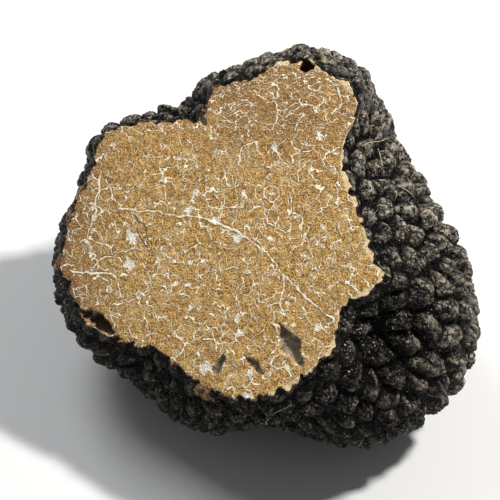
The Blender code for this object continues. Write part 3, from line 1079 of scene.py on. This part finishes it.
# Where the flesh is browner and where its rim is cream, as places right and up the picture.
BROWN_TO_LEFT = (-18.0, -30.0)
BROWN_TO_TOP = (8.0, 22.0)
BROWN_TOP_FROM_LEFT = (-13.0, -5.0)
BROWN_RIM_TO_LEFT = (0.0, -10.0)
BROWN_RIM_WIDTH = 1.2
BROWN_BY_LEFT = 0.75
BROWN_BY_TOP = 0.85
BROWN_BY_RIM = 0.6
CREAM_RIM_TO_RIGHT = (-4.0, 4.0)
CREAM_RIM_WIDTH = 1.1
# The paint: sizes of its patches in mm, its colours, and its coats, as on the rind.
FLESH_CLOUD_SIZE = 0.85
FLESH_GRAIN_SIZE = 0.19
FLESH_WHORL_SIZE = 0.42
FLESH_DOT_SIZE = 0.21
FLESH_BROAD_SIZE = 6.0
KNOT_JAGGED_SIZE = 0.55
FLESH_BROWN = (0.20, 0.088, 0.019)
FLESH_GOLD = (0.80, 0.50, 0.155)
RIPE_BROWN = (0.23, 0.115, 0.045)
KNOT_WHITE = (0.97, 0.92, 0.80)
KNOT_SHADE = (0.46, 0.38, 0.28)
HOLLOW_GREY = (0.11, 0.095, 0.082)
HOLLOW_TAN = (0.27, 0.22, 0.17)
PAINTED_SHADE_IN_DEEP_HOLLOWS = (0.028, 0.020, 0.014)
BROWN_CELLS = (0.50, (0.40, 0.20, 0.052))
CREAM_CELLS = (0.35, (0.70, 0.50, 0.22))
BROWN_DOTS = (0.75, (0.12, 0.050, 0.016))
CREAM_DOTS = (0.7, (0.82, 0.62, 0.33))
BROWN_SEAMS = (0.45, (0.19, 0.085, 0.022))
CREAM_VEINS = (0.95, (1.0, 0.91, 0.68))
CREAM_RIM = (0.8, (0.80, 0.63, 0.37))
BROWN_SPLITS = (0.85, (0.06, 0.03, 0.015))
FINEST_STRENGTH = 0.6
HOLLOW_STRENGTH = 0.93
FLESH_ROUGHNESS = 0.62
FLESH_SHINE = 0.2
FLESH_BUMP = 0.3


def nearest_line(across, up, lines):
    """How far each place of the face is from the nearest line, by how stout the line is."""
    nearest = np.full(len(across), FARTHEST_VEIN)
    for stout, *line in lines:
        ends = np.stack(on_slice(*np.array(line).T), axis=1)
        for start, end in zip(ends[:-1], ends[1:]):
            run = end - start
            offset = np.stack((across, up), axis=1) - start
            share = np.clip(offset @ run / (run @ run), 0.0, 1.0)
            away = np.linalg.norm(offset - share[:, None] * run, axis=1)
            nearest = np.minimum(nearest, away / stout)
    return nearest


def soft_step(values, start, end):
    """0 at start and 1 at end, with level ends."""
    return ease((values - start) / (end - start))


def either(tree, share, first, second):
    """The first of two numbers, or the second as far as a share says."""
    return step(tree, "ShaderNodeMix", {0: share, 2: first, 3: second}).outputs[0]


def web(tree, place, size):
    """How far each place is from the sides of a net whose cells are a size across, in mm."""
    inputs = {"Vector": place, "Scale": 1 / size}
    settings = {"feature": "DISTANCE_TO_EDGE", "voronoi_dimensions": "2D"}
    edge = step(tree, "ShaderNodeTexVoronoi", inputs, **settings).outputs["Distance"]
    return times(tree, edge, size)


def vein_net(tree, place, drawn):
    """The net that the small veins follow: round cells, upright ones in patches, and level
    ones at the top."""
    level = web(tree, stretched(tree, drawn, LEVEL_CELL_SHARES), LEVEL_CELL)
    upright = web(tree, stretched(tree, drawn, UPRIGHT_CELL_SHARES), UPRIGHT_CELL)
    height = step(tree, "ShaderNodeSeparateXYZ", {0: drawn}).outputs[1]
    patches = between(tree, mottle(tree, place, UPRIGHT_PATCH_SIZE, 1.0), 0.50, 0.58)
    net = web(tree, drawn, VEIN_CELL)
    net = either(tree, patches, net, times(tree, upright, UPRIGHT_CELL_SPREAD))
    at_top = between(tree, height, *LEVEL_CELLS_FROM)
    return either(tree, at_top, net, times(tree, level, LEVEL_CELL_SPREAD))


def lines_along(tree, net, widths, girth):
    """Veins along the sides of a net, and the darker seams beside them."""
    share = sums(tree, "DIVIDE", net, spread(tree, girth, *widths, 0.3, 0.7))
    return outside(tree, share, 0.65, 1.15), outside(tree, share, 1.4, 2.6)


def small_veins(tree, place, drawn, net):
    """The small veins, which come and go in patches, and the seams beside them."""
    girth = mottle(tree, shifted(tree, place, (11.0, 5.0, 0.0)), VEIN_GIRTH_SIZE, 2.0)
    patches = between(tree, mottle(tree, place, VEIN_PATCH_SIZE, 2.0), 0.39, 0.49)
    veins, seams = lines_along(tree, net, VEIN_WIDTH, girth)
    finest = lines_along(tree, web(tree, drawn, FINEST_CELL), FINEST_WIDTH, girth)[0]
    elsewhere = mottle(tree, shifted(tree, place, (40.0, 9.0, 0.0)), FINEST_PATCH_SIZE, 2.0)
    finest = times(tree, finest, between(tree, elsewhere, 0.50, 0.61))
    veins = most(tree, times(tree, veins, patches), times(tree, finest, FINEST_STRENGTH))
    return veins, times(tree, seams, patches)


def main_veins(tree, place):
    """The main veins, and the seams beside them."""
    wobble = mottle(tree, place, MAIN_VEIN_WOBBLE_SIZE, 3.0)
    away = plus(tree, noted(tree, "main_vein_mm"), times(tree, wobble, MAIN_VEIN_WOBBLE))
    return outside(tree, away, 0.22, 0.38), outside(tree, away, 0.45, 0.70)


def flesh_grain(tree, place, drawn, clouds):
    """The fine grain of the flesh, with whorls between the veins."""
    specks = mottle(tree, shifted(tree, place, (3.0, 8.0, 0.0)), FLESH_GRAIN_SIZE, 2.0, 0.6)
    whorls = mottle(tree, shifted(tree, drawn, (9.0, 2.0, 0.0)), FLESH_WHORL_SIZE, 1.0, 0.5)
    whorls = sums(tree, "ABSOLUTE", less(tree, whorls, 0.5))
    whorls = less(tree, 0.64, times(tree, whorls, 2.1))
    both = plus(tree, times(tree, clouds, 0.25), times(tree, specks, 0.40))
    return plus(tree, both, times(tree, whorls, 0.35))


def flesh_ground(tree, place, drawn, fine, dots):
    """The flesh between the veins: golden brown, each cell a little darker or paler."""
    colour = blend(tree, between(tree, fine, 0.40, 0.60), FLESH_BROWN, FLESH_GOLD)
    inputs = {"Vector": drawn, "Scale": 1 / VEIN_CELL}
    cell = step(tree, "ShaderNodeTexVoronoi", inputs, voronoi_dimensions="2D").outputs["Color"]
    cell = step(tree, "ShaderNodeSeparateColor", {0: cell}).outputs[0]
    colour = coated(tree, colour, between(tree, cell, 0.45, 1.0), *BROWN_CELLS)
    colour = coated(tree, colour, between(tree, cell, 0.30, 0.0), *CREAM_CELLS)
    broad = between(tree, mottle(tree, place, FLESH_BROAD_SIZE, 2.0), 0.0, 0.7)
    colour = coated(tree, colour, noted(tree, "brown"), broad, RIPE_BROWN)
    colour = coated(tree, colour, between(tree, dots, 0.54, 0.65), *BROWN_DOTS)
    pale_dots = between(tree, less(tree, 1.0, dots), 0.57, 0.67)
    return coated(tree, colour, pale_dots, *CREAM_DOTS)


def paint_flesh():
    """Golden brown, mottled, with cream veins, pale knots and grey hollows, whose deepest parts are
    painted black as shade.
    """
    paint, tree, shader = new_paint("marbled_flesh")
    place = noted_place(tree, "face_mm")
    drawn = shifted(tree, place, sway(tree, place, *VEIN_SWAY))
    drawn = shifted(tree, drawn, sway(tree, place, *VEIN_CURL))
    clouds = mottle(tree, place, FLESH_CLOUD_SIZE, 4.0, 0.6)
    dots = mottle(tree, shifted(tree, place, (7.0, 31.0, 0.0)), FLESH_DOT_SIZE, 1.0, 0.5)
    fine = flesh_grain(tree, place, drawn, clouds)
    net = vein_net(tree, place, drawn)
    veins, seams = small_veins(tree, place, drawn, net)
    main, beside = main_veins(tree, place)
    veins = most(tree, veins, main)

    colour = flesh_ground(tree, place, drawn, fine, dots)
    colour = coated(tree, colour, most(tree, seams, beside), *BROWN_SEAMS)
    colour = coated(tree, colour, veins, *CREAM_VEINS)

    knot = noted(tree, "knot")
    jagged = unevenness(tree, mottle(tree, place, KNOT_JAGGED_SIZE, 4.0, 0.7), 1.1)
    knots = plus(tree, knot, times(tree, jagged, 1.6))
    knots = plus(tree, knots, times(tree, outside(tree, net, 0.0, 0.45), knot))
    pale = blend(tree, between(tree, dots, 0.5, 0.62), KNOT_WHITE, KNOT_SHADE)
    colour = blend(tree, between(tree, knots, 0.62, 0.75), colour, pale)

    ragged = unevenness(tree, fine, 0.8)
    cream = between(tree, plus(tree, noted(tree, "cream_rim"), ragged), 0.4, 0.6)
    colour = coated(tree, colour, cream, *CREAM_RIM)
    split = plus(tree, noted(tree, "dry_crack_mm"), times(tree, dots, 0.25))
    split = outside(tree, split, 0.15, 0.28)
    colour = coated(tree, colour, split, *BROWN_SPLITS)
    hollow_floor = blend(tree, between(tree, clouds, 0.35, 0.6), HOLLOW_GREY, HOLLOW_TAN)
    # Painted shade: the deepest hollows go black.
    deep = between(tree, noted(tree, "deep_mm"), 0.9, 1.2)
    hollow_floor = blend(tree, deep, hollow_floor, PAINTED_SHADE_IN_DEEP_HOLLOWS)
    hollow = plus(tree, noted(tree, "hollow"), times(tree, ragged, 0.6))
    hollow = between(tree, hollow, 0.4, 0.75)
    colour = coated(tree, colour, hollow, HOLLOW_STRENGTH, hollow_floor)

    tree.links.new(colour, shader.inputs["Base Color"])
    shader.inputs["Roughness"].default_value = FLESH_ROUGHNESS
    shader.inputs["Specular IOR Level"].default_value = FLESH_SHINE
    bumps = less(tree, plus(tree, fine, times(tree, veins, 0.35)), split)
    bumpy(tree, shader, bumps, FLESH_BUMP)
    return paint


smooth_faces(flesh)
points = corner_points(flesh)
across, up = points @ SLICE_ACROSS, points @ SLICE_UP
spots = flat_spots(across, up)
note(flesh, "face_mm", spots)
astray = across + VEIN_STRAY * grain(spots + VEIN_STRAY_SHIFT, VEIN_STRAY_SIZE, octaves=3)
aside = up + VEIN_STRAY * grain(spots - VEIN_STRAY_SHIFT, VEIN_STRAY_SIZE, octaves=3)
ring_across, ring_up = on_slice(*RING_VEIN_MIDDLE)
from_ring = np.hypot(astray - ring_across, aside - ring_up) - RING_VEIN_RADIUS
main_vein = nearest_line(astray, aside, MAIN_VEINS)
main_vein = np.minimum(main_vein, np.abs(from_ring) / RING_VEIN_STOUT)
note(flesh, "main_vein_mm", main_vein)
note(flesh, "dry_crack_mm", nearest_line(astray, aside, DRY_CRACKS))
knot = np.zeros(len(points))
for knot_right, knot_up, size in KNOTS:
    knot_at = on_slice(knot_right, knot_up)
    away = np.hypot(across - knot_at[0], up - knot_at[1])
    knot = np.maximum(knot, bell(away, size))
note(flesh, "knot", knot)
hollow, deep = hollow_share(across, up)
note(flesh, "hollow", hollow)
note(flesh, "deep_mm", deep)

right, rise = points @ RIGHT, points @ RISE
rim_gap = outline_at(SLICE_OUTLINE, np.arctan2(rise, right)) - np.hypot(right, rise)
brown = BROWN_BY_LEFT * soft_step(right, *BROWN_TO_LEFT)
at_top = soft_step(rise, *BROWN_TO_TOP) * soft_step(right, *BROWN_TOP_FROM_LEFT)
brown = np.clip(brown + BROWN_BY_TOP * at_top, 0.0, 1.0)
brown_rim = bell(rim_gap, BROWN_RIM_WIDTH) * soft_step(right, *BROWN_RIM_TO_LEFT)
note(flesh, "brown", brown + BROWN_BY_RIM * brown_rim)
cream_rim = bell(rim_gap, CREAM_RIM_WIDTH) * soft_step(right, *CREAM_RIM_TO_RIGHT)
note(flesh, "cream_rim", cream_rim)
flesh.data.materials.clear()
flesh.data.materials.append(paint_flesh())
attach(flesh, "root")
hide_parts("truffle")

# Root fibres: a few dry pale threads of the tree's roots, still caught on the warts.
FIBRE_RADIUS = 0.06
FIBRE_SIDES = 6
FIBRE_LIFT = 0.12
FIBRE_STEPS = 8
FIBRE_SMOOTHINGS = 4
FIBRES = (
    ((13.5, 15.7), (14.6, 16.4), (16.2, 16.6), (17.6, 17.2)),
    ((16.0, 15.6), (16.3, 14.2), (16.5, 12.9)),
    ((19.3, 9.9), (20.2, 9.4), (21.0, 8.8)),
    ((3.3, -21.5), (1.6, -22.6), (0.2, -23.6), (-0.4, -24.3), (-0.2, -25.0)),
)
FIBRE_CLOUD_SIZE = 0.5
FIBRE_TAN = (0.42, 0.32, 0.20)
FIBRE_STRAW = (0.70, 0.60, 0.45)
FIBRE_ROUGHNESS = 0.7


def fibre_path(line):
    """Where a thread runs over the warts along a line of the picture."""
    corners = np.array(line)
    steps = np.linspace(0, len(corners) - 1, FIBRE_STEPS * len(corners))
    right, up = (np.interp(steps, np.arange(len(corners)), side) for side in corners.T)
    path = np.array([on_rind(*spot) for spot in zip(right, up)])
    for _ in range(FIBRE_SMOOTHINGS):
        path[1:-1] = (path[:-2] + 2 * path[1:-1] + path[2:]) / 4
    return path + FIBRE_LIFT * FRONT


def fibre_mesh(path):
    """A round closed thread along a path."""
    along = unit(np.gradient(path, axis=0))
    beside = unit(np.cross(along, FRONT))
    over = np.cross(beside, along)
    turns = np.linspace(0, 2 * math.pi, FIBRE_SIDES, endpoint=False)
    round_it = np.cos(turns)[None, :, None] * beside[:, None]
    round_it = round_it + np.sin(turns)[None, :, None] * over[:, None]
    rings = path[:, None] + FIBRE_RADIUS * round_it + BODY_CENTRE
    mesh = bmesh.new()
    rows = [[mesh.verts.new(point) for point in ring] for ring in rings.tolist()]
    for row, next_row in zip(rows, rows[1:]):
        for side in range(FIBRE_SIDES):
            other = (side + 1) % FIBRE_SIDES
            mesh.faces.new((row[side], row[other], next_row[other], next_row[side]))
    mesh.faces.new(reversed(rows[0]))
    mesh.faces.new(rows[-1])
    bmesh.ops.recalc_face_normals(mesh, faces=mesh.faces)
    return mesh


def paint_fibre():
    """Dry and straw-coloured, in paler and browner lengths."""
    paint, tree, shader = new_paint("dry_root")
    cloud = mottle(tree, place_in_mm(tree), FIBRE_CLOUD_SIZE)
    colour = blend(tree, between(tree, cloud, 0.35, 0.65), FIBRE_TAN, FIBRE_STRAW)
    tree.links.new(colour, shader.inputs["Base Color"])
    shader.inputs["Roughness"].default_value = FIBRE_ROUGHNESS
    return paint


fibre_paint = paint_fibre()
for count, line in enumerate(FIBRES, start=1):
    fibre = new_piece(f"root_fibre_{count}", fibre_mesh(fibre_path(line)))
    smooth_faces(fibre)
    fibre.data.materials.append(fibre_paint)
    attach(fibre, "root")
